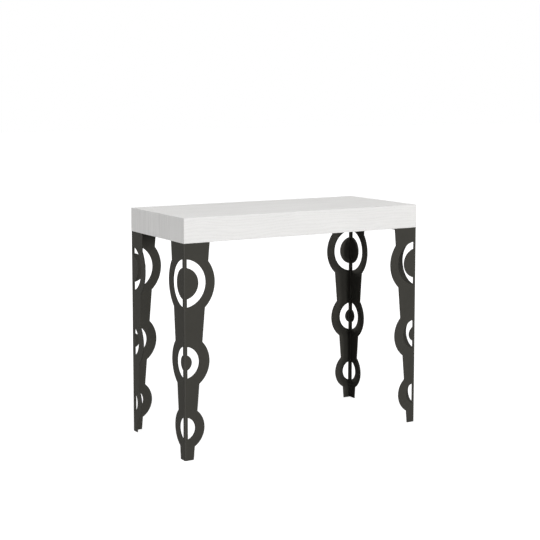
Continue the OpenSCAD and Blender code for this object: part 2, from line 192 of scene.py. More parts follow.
world = bpy.data.worlds.new("white room")
bpy.context.scene.world = world
world.use_nodes = True
world_tree = world.node_tree
world_tree.nodes.clear()
seen_world = add(world_tree, "ShaderNodeBackground", {"Color": WHITE, "Strength": 1.0}).outputs[0]
lit_world = add(world_tree, "ShaderNodeBackground", {"Color": WHITE, "Strength": AMBIENT}).outputs[0]
world_mix = either(world_tree, seen_directly(world_tree), lit_world, seen_world)
add(world_tree, "ShaderNodeOutputWorld", {"Surface": world_mix})
print("White room, with ambient light of", AMBIENT)

# %% [markdown]
# The floor
#
# A white floor under lamps is only as white as the light on it, so it would turn grey away from the table
# and show where it ends. This one glows as well, a little less near the table, where the lamps add the rest
# and the feet can still leave a faint shadow, and fully white from a few metres on. Seen from below it is
# clear, so that the underside of the table can be looked at too.

# %% Floor
FLOOR_HALF = 30.0
FLOOR_GLOW_NEAR = 0.86
FLOOR_GLOW_FAR = 1.0
FLOOR_NEAR_REACH = 1.2
FLOOR_FAR_REACH = 3.0
FLOOR_PAINT = (0.5, 0.5, 0.5, 1.0)
FLOOR_BOUNCE = (0.4, 0.4, 0.4, 1.0)

floor_mesh = bpy.data.meshes.new("floor")
corners = [(x * FLOOR_HALF, y * FLOOR_HALF, 0.0) for x, y in ((-1, -1), (1, -1), (1, 1), (-1, 1))]
floor_mesh.from_pydata(corners, [], [(0, 1, 2, 3)])
floor = bpy.data.objects.new("floor", floor_mesh)
bpy.context.scene.collection.objects.link(floor)

floor_finish = bpy.data.materials.new("white floor")
floor_finish.use_nodes = True
floor_tree = floor_finish.node_tree
floor_tree.nodes.clear()
floor_point = add(floor_tree, "ShaderNodeTexCoord").outputs["Object"]
from_table = add(floor_tree, "ShaderNodeVectorMath", {0: floor_point}, operation="LENGTH").outputs["Value"]
glow_range = {
    "Value": from_table,
    "From Min": FLOOR_NEAR_REACH, "From Max": FLOOR_FAR_REACH,
    "To Min": FLOOR_GLOW_NEAR, "To Max": FLOOR_GLOW_FAR,
}
glow = add(floor_tree, "ShaderNodeMapRange", glow_range).outputs[0]
glowing = add(floor_tree, "ShaderNodeEmission", {"Color": WHITE, "Strength": glow}).outputs[0]
painted = add(floor_tree, "ShaderNodeBsdfDiffuse", {"Color": FLOOR_PAINT}).outputs[0]
seen_floor = add(floor_tree, "ShaderNodeAddShader", {0: glowing, 1: painted}).outputs[0]
lit_floor = add(floor_tree, "ShaderNodeBsdfDiffuse", {"Color": FLOOR_BOUNCE}).outputs[0]
floor_mix = either(floor_tree, seen_directly(floor_tree), lit_floor, seen_floor)
from_below = add(floor_tree, "ShaderNodeNewGeometry").outputs["Backfacing"]
clear = add(floor_tree, "ShaderNodeBsdfTransparent").outputs[0]
two_sided = either(floor_tree, from_below, floor_mix, clear)
add(floor_tree, "ShaderNodeOutputMaterial", {"Surface": two_sided})
floor_mesh.materials.append(floor_finish)
print("Floor", 2 * FLOOR_HALF, "metres wide")

# %% [markdown]
# The lamps
#
# Three lamps from far away do most of the work. Two low ones in front make the long edge the brightest face
# and reach under the top, and one behind, on the left, lights the left end. Near lamps would be brighter on
# the part of the table that is next to them, while the real table is as bright at one end as at the other.
# None of the three reaches the inner side of the far leg's end flange, which stays nearly black. Soft square
# lamps fill in: one high up for the top, one at the back and one on the right. Their strengths are set so
# that white board stays below pure white.

# %% Lamps
TABLE_MIDDLE = Vector((0.0, 0.0, 0.5))


def hang(name, data, place):
    """A lamp at a place, which faces the middle of the table."""
    lamp = bpy.data.objects.new(name, data)
    lamp.location = place
    lamp.rotation_euler = (TABLE_MIDDLE - Vector(place)).to_track_quat("-Z", "Y").to_euler()
    bpy.context.scene.collection.objects.link(lamp)


def softbox(name, place, side, watts):
    """A square lamp, with its side in metres."""
    data = bpy.data.lights.new(name, "AREA")
    data.size = side
    data.energy = watts
    hang(name, data, place)


def far_lamp(name, place, degrees, strength):
    """A lamp far off, in the direction of a place: its width in the sky, and its watts per square metre."""
    data = bpy.data.lights.new(name, "SUN")
    data.angle = math.radians(degrees)
    data.energy = strength
    hang(name, data, place)


far_lamp("front lamp", (2.4, -9.1, 1.3), degrees=11.0, strength=0.79)
far_lamp("right front lamp", (5.4, -7.7, 1.3), degrees=11.0, strength=1.08)
far_lamp("left back lamp", (-5.4, 6.9, 3.05), degrees=19.0, strength=2.03)
softbox("high lamp", (-0.6, -2.8, 5.6), side=2.0, watts=156.0)
softbox("back lamp", (-0.8, 5.0, 2.4), side=2.5, watts=35.0)
softbox("right lamp", (5.0, -0.6, 2.2), side=2.0, watts=35.0)

# %% [markdown]
# Wood grain, for several finishes
#
# A tree grows in rings round its heart. A board cuts through them, nearly along their axis, so its face
# shows long lines that bend into arches where the cut grazes a ring. A picture of real wood could be laid on
# the board, but it would stretch at the edges. Here the same rings are worked out in space: every point asks
# how far it is from a heart that wanders a little along the board. So the lines on the top run on over the
# edge, as on a solid piece. Stretched noise adds the streaks, the fibres and the open pores.


# %% Helpers for patterns
def noise(tree, vector, scale, detail):
    """Soft noise around 0.5, with a number of patches per metre."""
    inputs = {"Vector": vector, "Scale": scale, "Detail": detail}
    return add(tree, "ShaderNodeTexNoise", inputs).outputs["Fac"]


def mix(tree, share, first, second):
    """A value between two values, by a share from 0 to 1."""
    return add(tree, "ShaderNodeMix", {0: share, 2: first, 3: second}, data_type="FLOAT").outputs[0]


def spread(tree, value, low=0.0, high=1.0, from_low=0.25, from_high=0.75):
    """Maps a pattern, which mostly lies between two values, to the range from low to high."""
    inputs = {"Value": value, "From Min": from_low, "From Max": from_high, "To Min": low, "To Max": high}
    return add(tree, "ShaderNodeMapRange", inputs).outputs[0]


print("Helpers for patterns: noise, mix, spread")

# %% Wood grain
BENDS_PER_METRE = 2.6
RING_UNEVENNESS = 2.0
PATCH_STRETCH = 3.0
PORES_IN_FIBRES = (0.60, 0.72)
PORES_IN_BANDS = (0.48, 0.62)


def wood_grain_group():
    """Rings, streaks, fibres and pores along X, from a vector in metres."""
    group, given, end = new_group(
        "wood grain",
        "ShaderNodeTree",
        {
            "Vector": "Vector",
            "Heart": "Vector",
            "Rings per metre": 220.0,
            "Ring share": 0.4,
            "Streaks per metre": 75.0,
            "Fibres per metre": 1100.0,
            "Fibre share": 0.3,
            "Stretch": 16.0,
            "Waviness": 0.01,
            "Patches per metre": 5.0,
            "Patch share": 0.0,
        },
        {"Tone": "Float", "Pores": "Float", "Relief": "Float"},
    )
    bends = {"Vector": given["Vector"], "Scale": BENDS_PER_METRE, "Detail": 1.0}
    wander = add(group, "ShaderNodeTexNoise", bends)
    centred = calculate_vector(group, "SUBTRACT", wander.outputs["Color"], (0.5, 0.5, 0.5))
    bend = {0: centred, "Scale": given["Waviness"]}
    bent = add(group, "ShaderNodeVectorMath", bend, operation="SCALE").outputs[0]
    place = calculate_vector(group, "ADD", given["Vector"], bent)

    along = calculate(group, "DIVIDE", 1.0, given["Stretch"])
    squeeze = add(group, "ShaderNodeCombineXYZ", {"X": along, "Y": 1.0, "Z": 1.0}).outputs[0]
    grain = calculate_vector(group, "MULTIPLY", place, squeeze)
    streaks = noise(group, grain, given["Streaks per metre"], detail=3.0)
    fibres = noise(group, grain, given["Fibres per metre"], detail=2.0)

    from_heart = calculate_vector(group, "SUBTRACT", place, given["Heart"])
    across = calculate_vector(group, "MULTIPLY", from_heart, (0.0, 1.0, 1.0))
    radius = add(group, "ShaderNodeVectorMath", {0: across}, operation="LENGTH").outputs["Value"]
    turns = calculate(group, "MULTIPLY", radius, given["Rings per metre"])
    uneven = calculate(group, "ADD", turns, calculate(group, "MULTIPLY", streaks, RING_UNEVENNESS))
    wave = calculate(group, "SINE", calculate(group, "MULTIPLY", uneven, 2 * math.pi))
    rings = spread(group, wave, from_low=-1.0, from_high=1.0)

    bands = mix(group, given["Ring share"], streaks, rings)
    fine = mix(group, given["Fibre share"], bands, fibres)
    patch_squeeze = calculate_vector(group, "MULTIPLY", place, (1.0, PATCH_STRETCH, PATCH_STRETCH))
    patches = noise(group, patch_squeeze, given["Patches per metre"], detail=1.0)
    tone = mix(group, given["Patch share"], fine, patches)
    dark_fibres = spread(group, fibres, 0.0, 1.0, *PORES_IN_FIBRES)
    pores = calculate(group, "MULTIPLY", dark_fibres, spread(group, bands, 0.0, 1.0, *PORES_IN_BANDS))
    relief = calculate(group, "SUBTRACT", tone, pores)
    for label, value in (("Tone", tone), ("Pores", pores), ("Relief", relief)):
        group.links.new(value, end.inputs[label])
    return group


wood_grain = wood_grain_group()
print("Wood grain:", len(wood_grain.nodes), "nodes")

# %% [markdown]
# Powder and drawn lines, for several finishes
#
# Baked powder has the fine skin of an orange, zinc has a mottle that is much the same, and a bar that was
# drawn through a die has straight lines along it. Each is noise at the right scale, and a scan of the real
# skin would add nothing at this size.

# %% Powder texture
SHEEN_PER_METRE = 14.0


def powder_group():
    """The fine peel of a baked powder coat, and the slow change of its sheen."""
    group, given, end = new_group(
        "powder texture",
        "ShaderNodeTree",
        {"Vector": "Vector", "Peel per metre": 1400.0, "Speckle per metre": 5200.0, "Speckle share": 0.4},
        {"Relief": "Float", "Sheen": "Float"},
    )
    peel = noise(group, given["Vector"], given["Peel per metre"], detail=2.0)
    speckle = noise(group, given["Vector"], given["Speckle per metre"], detail=1.0)
    group.links.new(mix(group, given["Speckle share"], peel, speckle), end.inputs["Relief"])
    group.links.new(noise(group, given["Vector"], SHEEN_PER_METRE, detail=3.0), end.inputs["Sheen"])
    return group


powder_texture = powder_group()
print("Powder texture:", len(powder_texture.nodes), "nodes")

# %% Drawn lines
CLOUDS_PER_METRE = 30.0


def drawn_lines_group():
    """The fine straight lines that a die leaves along a drawn bar. They run along X."""
    group, given, end = new_group(
        "drawn lines",
        "ShaderNodeTree",
        {"Vector": "Vector", "Lines per metre": 2500.0, "Stretch": 400.0},
        {"Lines": "Float", "Clouds": "Float"},
    )
    along = calculate(group, "DIVIDE", 1.0, given["Stretch"])
    squeeze = add(group, "ShaderNodeCombineXYZ", {"X": along, "Y": 1.0, "Z": 1.0}).outputs[0]
    place = calculate_vector(group, "MULTIPLY", given["Vector"], squeeze)
    group.links.new(noise(group, place, given["Lines per metre"], detail=3.0), end.inputs["Lines"])
    group.links.new(noise(group, given["Vector"], CLOUDS_PER_METRE, detail=4.0), end.inputs["Clouds"])
    return group


drawn_lines = drawn_lines_group()
print("Drawn lines:", len(drawn_lines.nodes), "nodes")

# %% [markdown]
# Edges and folds, for several finishes
#
# A finish wears thin on edges, and along a fold the leg finish paints a highlight, a paler colour that stands
# for the light a fold catches. Both could be painted by hand, but the shape already says where they are. A
# sharp edge is found by how far the normal leans once it is rounded, and a fold by its own normal, which
# looks along neither X nor Y.

# %% Edges and folds
EDGE_AGREEMENT = (0.8, 0.98)
FOLD_PRODUCT = 0.5


def edge_group():
    """1 on a sharp outer edge or on a fold, and 0 on a face. Halfway round a fold, X times Y is a half."""
    group, given, end = new_group(
        "edge finder", "ShaderNodeTree", {"Rounded normal": "Vector"}, {"Edge": "Float", "Fold": "Float"}
    )
    true_normal = add(group, "ShaderNodeNewGeometry").outputs["True Normal"]
    lean = {0: given["Rounded normal"], 1: true_normal}
    agreement = add(group, "ShaderNodeVectorMath", lean, operation="DOT_PRODUCT").outputs["Value"]
    group.links.new(spread(group, agreement, 1.0, 0.0, *EDGE_AGREEMENT), end.inputs["Edge"])
    parts = add(group, "ShaderNodeSeparateXYZ", {0: true_normal}).outputs
    both = calculate(group, "MULTIPLY", parts["X"], parts["Y"])
    fold = spread(group, calculate(group, "ABSOLUTE", both), 0.0, 1.0, 0.0, FOLD_PRODUCT)
    group.links.new(fold, end.inputs["Fold"])
    return group


edge_finder = edge_group()
print("Shared effects:", [group.name for group in bpy.data.node_groups])

# %% [markdown]
# Helpers for finishes
#
# A finish starts with its own coordinates. Object coordinates are metres in the table's own frame, so a
# pattern keeps its real scale on every piece and runs on from one board to the next. A Mapping node turns
# them until X lies along the grain. Unwrapping each board would work as well, but would need care at every
# joint.

# %% Start of a finish
BEVEL_SAMPLES = 4


def new_finish(name, turn=(0.0, 0.0, 0.0), place=(0.0, 0.0, 0.0)):
    """An empty material, its tree, and object coordinates turned so that X runs along its pattern."""
    finish = bpy.data.materials.new(name)
    finish.use_nodes = True
    tree = finish.node_tree
    tree.nodes.clear()
    position = add(tree, "ShaderNodeTexCoord").outputs["Object"]
    mapping = {"Vector": position, "Location": place, "Rotation": turn}
    return finish, tree, add(tree, "ShaderNodeMapping", mapping).outputs[0]


def use_group(tree, group, inputs):
    """Places a shared effect in a finish and gives its outputs."""
    return add(tree, "ShaderNodeGroup", inputs, node_tree=group).outputs


def blend_colours(tree, share, first, second):
    """A colour between two colours, by a share from 0 to 1."""
    return add(tree, "ShaderNodeMix", {0: share, 6: first, 7: second}, data_type="RGBA").outputs[2]


def rounded(tree, radius):
    """Normals that are rounded over the sharp edges of a piece."""
    return add(tree, "ShaderNodeBevel", {"Radius": radius}, samples=BEVEL_SAMPLES).outputs[0]


def bump(tree, height, depth, normal):
    """Normals of a relief of that depth in metres."""
    inputs = {"Strength": 1.0, "Distance": depth, "Height": height, "Normal": normal}
    return add(tree, "ShaderNodeBump", inputs).outputs[0]


def surface(tree, inputs):
    """The shader of a finish and its output, which end the tree."""
    shader = add(tree, "ShaderNodeBsdfPrincipled", inputs)
    add(tree, "ShaderNodeOutputMaterial", {"Surface": shader.outputs[0]})


print("Helpers for finishes: new_finish, use_group, blend_colours, rounded, bump, surface")

# %% [markdown]
# White board
#
# The boards are covered with a white foil that carries the print and the pressed relief of ash. Its contrast
# is faint: a change of about a tenth in tone, and pores a few hundredths of a millimetre deep. The foil is
# matt, and shines so little that the low lamps leave hardly any glare on the top. The grain runs along the
# long side, with shorter streaks on the long edges. At each end of the table the foil is folded down over the
# edge, so there the grain stands upright and goes on from the top. A quarter turn of the coordinates, with
# the right offset, unfolds it. On the ends the tones of the grain also lie further apart, which is partly
# painted
# shade and highlight: it stands for the relief catching the light from the side.

# %% White foil
FOIL_WHITE = (0.911, 0.904, 0.890)
FOIL_SHINE = 0.04
FOIL_ROUGHNESS = (0.56, 0.68)
PANEL_CONTRAST = 0.078
EDGE_CONTRAST = 0.106
# On the ends the grain's contrast is raised by painted shade and highlight, standing for the relief in side
# light.
END_GRAIN_AND_SHADE_CONTRAST = 0.164
FOIL_PORE = (0.74, 0.73, 0.71, 1.0)
PORE_SHARE = 0.5
BOARD_ROUND = 0.0006
PORE_DEPTH = 0.00005
HEART_OF_TOP = (0.0, 0.02, 0.60)
FOIL_GRAIN = {
    "Rings per metre": 220.0, "Ring share": 0.35, "Streaks per metre": 75.0, "Fibres per metre": 1100.0,
    "Fibre share": 0.35, "Stretch": 15.0, "Waviness": 0.04, "Patches per metre": 5.0, "Patch share": 0.35,
}
EDGE_GRAIN = {**FOIL_GRAIN, "Stretch": 6.5, "Patch share": 0.2, "Fibre share": 0.5}
END_GRAIN = {**FOIL_GRAIN, "Patch share": 0.3, "Fibre share": 0.2}


def white_board(name, pattern, contrast, turn=(0.0, 0.0, 0.0), place=(0.0, 0.0, 0.0)):
    """White foil with that grain, whose lightest and darkest tones differ by the contrast."""
    finish, tree, position = new_finish(name, turn, place)
    grain = use_group(tree, wood_grain, {"Vector": position, "Heart": HEART_OF_TOP, **pattern})
    light = [value + contrast / 2 for value in FOIL_WHITE] + [1.0]
    dark = [value - contrast / 2 for value in FOIL_WHITE] + [1.0]
    colour = blend_colours(tree, spread(tree, grain["Tone"]), light, dark)
    colour = blend_colours(tree, calculate(tree, "MULTIPLY", grain["Pores"], PORE_SHARE), colour, FOIL_PORE)
    surface(tree, {
        "Base Color": colour,
        "Roughness": spread(tree, grain["Tone"], *FOIL_ROUGHNESS),
        "Specular IOR Level": FOIL_SHINE,
        "Normal": bump(tree, grain["Relief"], PORE_DEPTH, rounded(tree, BOARD_ROUND)),
    })
    return finish


unfold = (cad_high.x + cad_high.z, 0.0, cad_high.z - cad_high.x)
quarter = math.radians(90)
to_left = {"turn": (0.0, quarter, 0.0), "place": (-unfold[0], 0.0, unfold[2])}
to_right = {"turn": (0.0, -quarter, 0.0), "place": unfold}
board_finishes = {
    "panel": white_board("white foil", FOIL_GRAIN, PANEL_CONTRAST),
    "long_edge": white_board("white foil, long edges", EDGE_GRAIN, EDGE_CONTRAST),
    "left_end_edge": white_board("white foil, left end", END_GRAIN, END_GRAIN_AND_SHADE_CONTRAST, **to_left),
    "right_end_edge": white_board("white foil, right end", END_GRAIN, END_GRAIN_AND_SHADE_CONTRAST, **to_right),
}
print("White foil for", list(board_finishes))

# %% [markdown]
# Powder coat
#
# The legs are cut by laser, folded and baked in powder. The colour is a dark warm grey, and the skin is so
# fine and matt that it mirrors almost nothing: its specular level is only a small part of that of plain
# paint. A glossier skin would show the white room at a low angle, and the ends of the legs would look pale.
# Along the fold the colour is paler: a painted highlight, which draws one bright line down each leg.

# %% Leg finish
COAT_DARK = (0.0558, 0.0536, 0.0467, 1.0)
COAT_LIGHT = (0.0616, 0.0592, 0.0516, 1.0)
COAT_EDGE = (0.085, 0.082, 0.073, 1.0)
# The colour of the painted highlight along each fold.
PAINTED_FOLD_HIGHLIGHT = (0.120, 0.116, 0.105, 1.0)
COAT_SHINE = 0.015
COAT_ROUGHNESS = (0.46, 0.54)
COAT_WEAR = 0.5
COAT_ROUND = 0.0005
PEEL_DEPTH = 0.00003


def powder_coat(name):
    """Matt warm grey, paler on cut edges, with a painted highlight along the fold."""
    finish, tree, position = new_finish(name)
    texture = use_group(tree, powder_texture, {"Vector": position})
    normal = rounded(tree, COAT_ROUND)
    places = use_group(tree, edge_finder, {"Rounded normal": normal})
    colour = blend_colours(tree, spread(tree, texture["Sheen"]), COAT_DARK, COAT_LIGHT)
    colour = blend_colours(tree, calculate(tree, "MULTIPLY", places["Edge"], COAT_WEAR), colour, COAT_EDGE)
    # Painted highlight: the fold is coloured paler, standing for the light it catches.
    colour = blend_colours(tree, places["Fold"], colour, PAINTED_FOLD_HIGHLIGHT)
    surface(tree, {
        "Base Color": colour,
        "Roughness": spread(tree, texture["Sheen"], *COAT_ROUGHNESS),
        "Specular IOR Level": COAT_SHINE,
        "Normal": bump(tree, texture["Relief"], PEEL_DEPTH, normal),
    })
    return finish


leg_finish = powder_coat("warm grey powder coat")
print("Leg finish:", leg_finish.name)

# %% [markdown]
# Bare metal
#
# The sliding bars are drawn aluminium with a thin anodised skin: pale, a little rough, with straight die
# lines along their length. Brackets, catches and screws are steel with bright zinc on it, which shows small
# crystals and a faint change between warm and cool. Both are full metals, so their colour is the colour of
# what they mirror, and the patterns go into the roughness more than into the tone.

# %% Metals
ALUMINIUM = (0.60, 0.61, 0.63, 1.0)
ALUMINIUM_DULL = (0.47, 0.48, 0.50, 1.0)
ZINC_COOL = (0.37, 0.39, 0.42, 1.0)
ZINC_WARM = (0.44, 0.43, 0.39, 1.0)
LINE_ROUGHNESS = (0.26, 0.38)
CLOUD_ROUGHNESS = (0.0, 0.06)
ZINC_ROUGHNESS = (0.24, 0.34)
ZINC_MOTTLE = {"Peel per metre": 500.0, "Speckle per metre": 2600.0}
ZINC_CRYSTALS_PER_METRE = 260.0
ZINC_WEAR = 0.35
ZINC_POLISH = 0.05
METAL_ROUND = 0.0003
METAL_RELIEF = 0.000012
ALONG_DEPTH = (0.0, 0.0, quarter)


def drawn_aluminium(name):
    """Pale metal with die lines along the bar."""
    finish, tree, position = new_finish(name, ALONG_DEPTH)
    pattern = use_group(tree, drawn_lines, {"Vector": position})
    colour = blend_colours(tree, spread(tree, pattern["Lines"]), ALUMINIUM, ALUMINIUM_DULL)
    line_roughness = spread(tree, pattern["Lines"], *LINE_ROUGHNESS)
    cloud_roughness = spread(tree, pattern["Clouds"], *CLOUD_ROUGHNESS)
    surface(tree, {
        "Base Color": colour,
        "Metallic": 1.0,
        "Roughness": calculate(tree, "ADD", line_roughness, cloud_roughness),
        "Normal": bump(tree, pattern["Lines"], METAL_RELIEF, rounded(tree, METAL_ROUND)),
    })
    return finish


def bright_zinc(name):
    """Steel with crystals of zinc, polished a little on its edges."""
    finish, tree, position = new_finish(name)
    texture = use_group(tree, powder_texture, {"Vector": position, **ZINC_MOTTLE})
    crystals = add(tree, "ShaderNodeTexVoronoi", {"Vector": position, "Scale": ZINC_CRYSTALS_PER_METRE})
    shade = add(tree, "ShaderNodeSeparateColor", {0: crystals.outputs["Color"]}).outputs[0]
    normal = rounded(tree, METAL_ROUND)
    edge = use_group(tree, edge_finder, {"Rounded normal": normal})["Edge"]
    colour = blend_colours(tree, spread(tree, texture["Sheen"]), ZINC_COOL, ZINC_WARM)
    colour = blend_colours(tree, calculate(tree, "MULTIPLY", edge, ZINC_WEAR), colour, ALUMINIUM)
    crystal_roughness = spread(tree, shade, *ZINC_ROUGHNESS, 0.0, 1.0)
    polish = calculate(tree, "MULTIPLY", edge, ZINC_POLISH)
    surface(tree, {
        "Base Color": colour,
        "Metallic": 1.0,
        "Roughness": calculate(tree, "SUBTRACT", crystal_roughness, polish),
        "Normal": bump(tree, texture["Relief"], METAL_RELIEF, normal),
    })
    return finish


metal_finishes = {
    "bare_aluminium": drawn_aluminium("drawn aluminium"),
    "zinc_steel": bright_zinc("bright zinc"),
}
print("Metals:", list(metal_finishes))

# %% [markdown]
# Raw wood
#
# The corner blocks are planed pine and the dowels are beech. Pine has broad rings of hard dark latewood, so
# its tones lie far apart. Beech is even, with short dark flecks. Both use the same grain group as the foil,
# with the grain turned upright for the blocks and along the depth of the table for the dowels.

# %% Wood
PINE_LIGHT = (0.72, 0.52, 0.29, 1.0)
PINE_DARK = (0.50, 0.27, 0.10, 1.0)
BEECH_LIGHT = (0.62, 0.40, 0.22, 1.0)
BEECH_DARK = (0.48, 0.27, 0.13, 1.0)
WOOD_GRAIN = {"Fibres per metre": 1500.0, "Waviness": 0.01}
PINE_GRAIN = {
    **WOOD_GRAIN, "Rings per metre": 230.0, "Ring share": 0.7, "Streaks per metre": 160.0, "Stretch": 14.0,
}
BEECH_GRAIN = {
    **WOOD_GRAIN, "Rings per metre": 500.0, "Ring share": 0.2, "Streaks per metre": 500.0, "Stretch": 10.0,
}
PINE_FLECK = 0.2
BEECH_FLECK = 0.8
WOOD_ROUGHNESS = (0.55, 0.7)
WOOD_ROUND = 0.0005
UPRIGHT = (0.0, quarter, 0.0)


def raw_wood(name, light, dark, pattern, fleck, turn):
    """Wood of two tones, with that grain, a share of dark in its pores, and the turn from X to its grain."""
    finish, tree, position = new_finish(name, turn)
    grain = use_group(tree, wood_grain, {"Vector": position, **pattern})
    colour = blend_colours(tree, spread(tree, grain["Tone"]), light, dark)
    colour = blend_colours(tree, calculate(tree, "MULTIPLY", grain["Pores"], fleck), colour, dark)
    surface(tree, {
        "Base Color": colour,
        "Roughness": spread(tree, grain["Tone"], *WOOD_ROUGHNESS),
        "Normal": bump(tree, grain["Relief"], PORE_DEPTH, rounded(tree, WOOD_ROUND)),
    })
    return finish


wood_finishes = {
    "raw_pine": raw_wood("planed pine", PINE_LIGHT, PINE_DARK, PINE_GRAIN, PINE_FLECK, UPRIGHT),
    "beech": raw_wood("turned beech", BEECH_LIGHT, BEECH_DARK, BEECH_GRAIN, BEECH_FLECK, ALONG_DEPTH),
}
print("Woods:", list(wood_finishes))

# %% [markdown]
# Dressing the construction model
#
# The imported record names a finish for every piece, so all pieces get theirs in one loop. Only the edge
# boards need their own versions of the foil, and the end of a board's name says which.


# %% Finish of each piece
def finish_of(node, slot):
    """The material of a piece, from its slot in the record."""
    if slot == "white_board":
        return next(finish for ending, finish in board_finishes.items() if node.endswith(ending))
    if slot == "leg_coat":
        return leg_finish
    return {**metal_finishes, **wood_finishes}[slot]


slot_of = {part["node"]: part["material_slot"] for part in frame["record"]["subparts"]}
for name, piece in nodes.items():
    piece.data.materials.clear()
    piece.data.materials.append(finish_of(name, slot_of[name]))
finishes_used = {piece.data.materials[0].name for piece in nodes.values()}
print("Dressed", len(nodes), "pieces with", len(finishes_used), "finishes")

# %% [markdown]
# From the plain solids to finer pieces
#
# The construction model holds each screw and dowel as a plain solid of the right size, in the right place.
# Measuring those solids is safer than writing their places down again: if the construction changes, the fine
# pieces follow. The mesh of a piece is loose triangles, so a copy of it is merged first, and then walked
# from point to point to tell one solid from the next.

# %% Separate solids of a piece
WELD_DISTANCE = 1e-6


def loose_parts(node):
    """The corner points of each separate solid of a piece."""
    work = bmesh.new()
    work.from_mesh(nodes[node].data)
    bmesh.ops.remove_doubles(work, verts=work.verts, dist=WELD_DISTANCE)
    work.verts.index_update()
    seen = set()
    parts = []
    for first in work.verts:
        if first.index in seen:
            continue
        seen.add(first.index)
        reached = [first]
        for vertex in reached:
            for edge in vertex.link_edges:
                other = edge.other_vert(vertex)
                if other.index not in seen:
                    seen.add(other.index)
                    reached.append(other)
        parts.append([vertex.co.copy() for vertex in reached])
    work.free()
    return parts


def box_of(points):
    """The lowest and highest corners of some points."""
    low = Vector([min(p[i] for p in points) for i in range(3)])
    high = Vector([max(p[i] for p in points) for i in range(3)])
    return low, high


print("Solids:", {name: len(loose_parts(name)) for name in ("rear_leg_screws", "alignment_dowels")})

# %% [markdown]
# Running a Geometry Nodes tree
#
# A tree that makes pieces is put on a small mesh as a modifier. Its inputs are set by the sockets' own
# identifiers, because their names are only labels. The result is then turned into a plain mesh, and the
# modifier goes, so that the piece is ordinary geometry from here on.


# %% Grow a piece
def grow(name, tree, seed_mesh, inputs):
    """Runs a Geometry Nodes tree on a mesh, and returns the result as a plain piece at the origin."""
    piece = bpy.data.objects.new(name, seed_mesh)
    bpy.context.scene.collection.objects.link(piece)
    modifier = piece.modifiers.new("nodes", "NODES")
    modifier.node_group = tree
    for label, value in inputs.items():
        modifier[tree.interface.items_tree[label].identifier] = value
    shown = piece.evaluated_get(bpy.context.evaluated_depsgraph_get())
    grown = bpy.data.meshes.new_from_object(shown)
    piece.modifiers.remove(modifier)
    piece.data = grown
    grown.name = name
    return piece


def points_or_lines(name, points, in_pairs=False):
    """A mesh of points, or of the lines between the points of each pair, for a tree to grow on."""
    lines = [(i, i + 1) for i in range(0, len(points), 2)] if in_pairs else []
    mesh = bpy.data.meshes.new(name)
    mesh.from_pydata(points, lines, [])
    return mesh


print("Helpers for trees that make pieces: grow, points_or_lines")

# %% [markdown]
# Screws: measuring them
#
# Three kinds of screw hold the table together. Coarse furniture screws go through the leg plates into the
# corner blocks, machine screws hold the brackets to the bars, and wood screws hold what sits under the
# boards. Each is measured along its longest side: the widest points are its head, and the far end is its
# tip.

# %% Screw measures
Screw = namedtuple("Screw", "seat direction radius length head_radius head_height")
RIM_SHARE = 0.95
SAME_PLANE = 1e-5


def read_screw(points):
    """The seat under the head, the direction to the tip, and the sizes of a plain screw."""
    low, high = box_of(points)
    axis = max(range(3), key=lambda i: (high - low)[i])
    middle = (low + high) / 2

    def from_axis(point):
        offset = point - middle
        offset[axis] = 0.0
        return offset.length

    head_radius = max(from_axis(p) for p in points)
    rim = [p[axis] for p in points if from_axis(p) > RIM_SHARE * head_radius]
    upwards = high[axis] - max(rim) > min(rim) - low[axis]
    seat_level, tip, top = (max(rim), high[axis], low[axis]) if upwards else (min(rim), low[axis], high[axis])
    seat = middle.copy()
    seat[axis] = seat_level
    direction = Vector((0.0, 0.0, 0.0))
    direction[axis] = 1.0 if upwards else -1.0
    radius = max(from_axis(p) for p in points if abs(p[axis] - tip) < SAME_PLANE)
    return Screw(seat, direction, radius, abs(tip - seat_level), head_radius, abs(top - seat_level))


def kind_of(node, screw):
    """Leg screws are furniture screws. Of the others, the upright ones go into wood, the rest into metal."""
    if node.endswith("leg_screws"):
        return "furniture screw"
    return "wood screw" if screw.direction.z else "machine screw"


example = read_screw(loose_parts("rear_leg_screws")[0])
print("A leg screw:", round(2000 * example.radius, 2), "by", round(1000 * example.length, 2), "mm")

# %% [markdown]
# Screws: drives and heads
#
# A screw is nearly round, so it is lofted from rings, from the floor of its drive up over the head and down
# the shank. Each ring has a rule for its radius: constant on the head, and six-sided or six-lobed in the
# drive. Cutting the drive out of a finished head would do too, but would leave long thin faces round it.

# %% Screw heads
Ring = namedtuple("Ring", "height radius_at soft")
DRIVE_BEVEL = 0.0002
DOME_STEPS = 5
LOBE_DEPTH = 0.13

# Shares of the head's radius, and heights above the seat as shares of the head's height.
DRIVE_RADIUS, DRIVE_FLOOR = 0.5, 0.4
FLAT_RADIUS = 0.62
DOME_FOOT, DOME_RISE = 0.3, 0.7
RIM_FOOT = 0.08
SEAT_RADIUS = 0.97


def plain(radius):
    """The same radius all round."""
    return lambda angle: radius


def hexagon(radius):
    """Six flat sides. The radius is that of the corners."""
    sixth = math.pi / 3
    return lambda angle: radius * math.cos(sixth / 2) / math.cos((angle % sixth) - sixth / 2)


def lobed(radius):
    """Six round lobes. The radius is that of their tips."""
    return lambda angle: radius * (1.0 - LOBE_DEPTH + LOBE_DEPTH * math.cos(6 * angle))


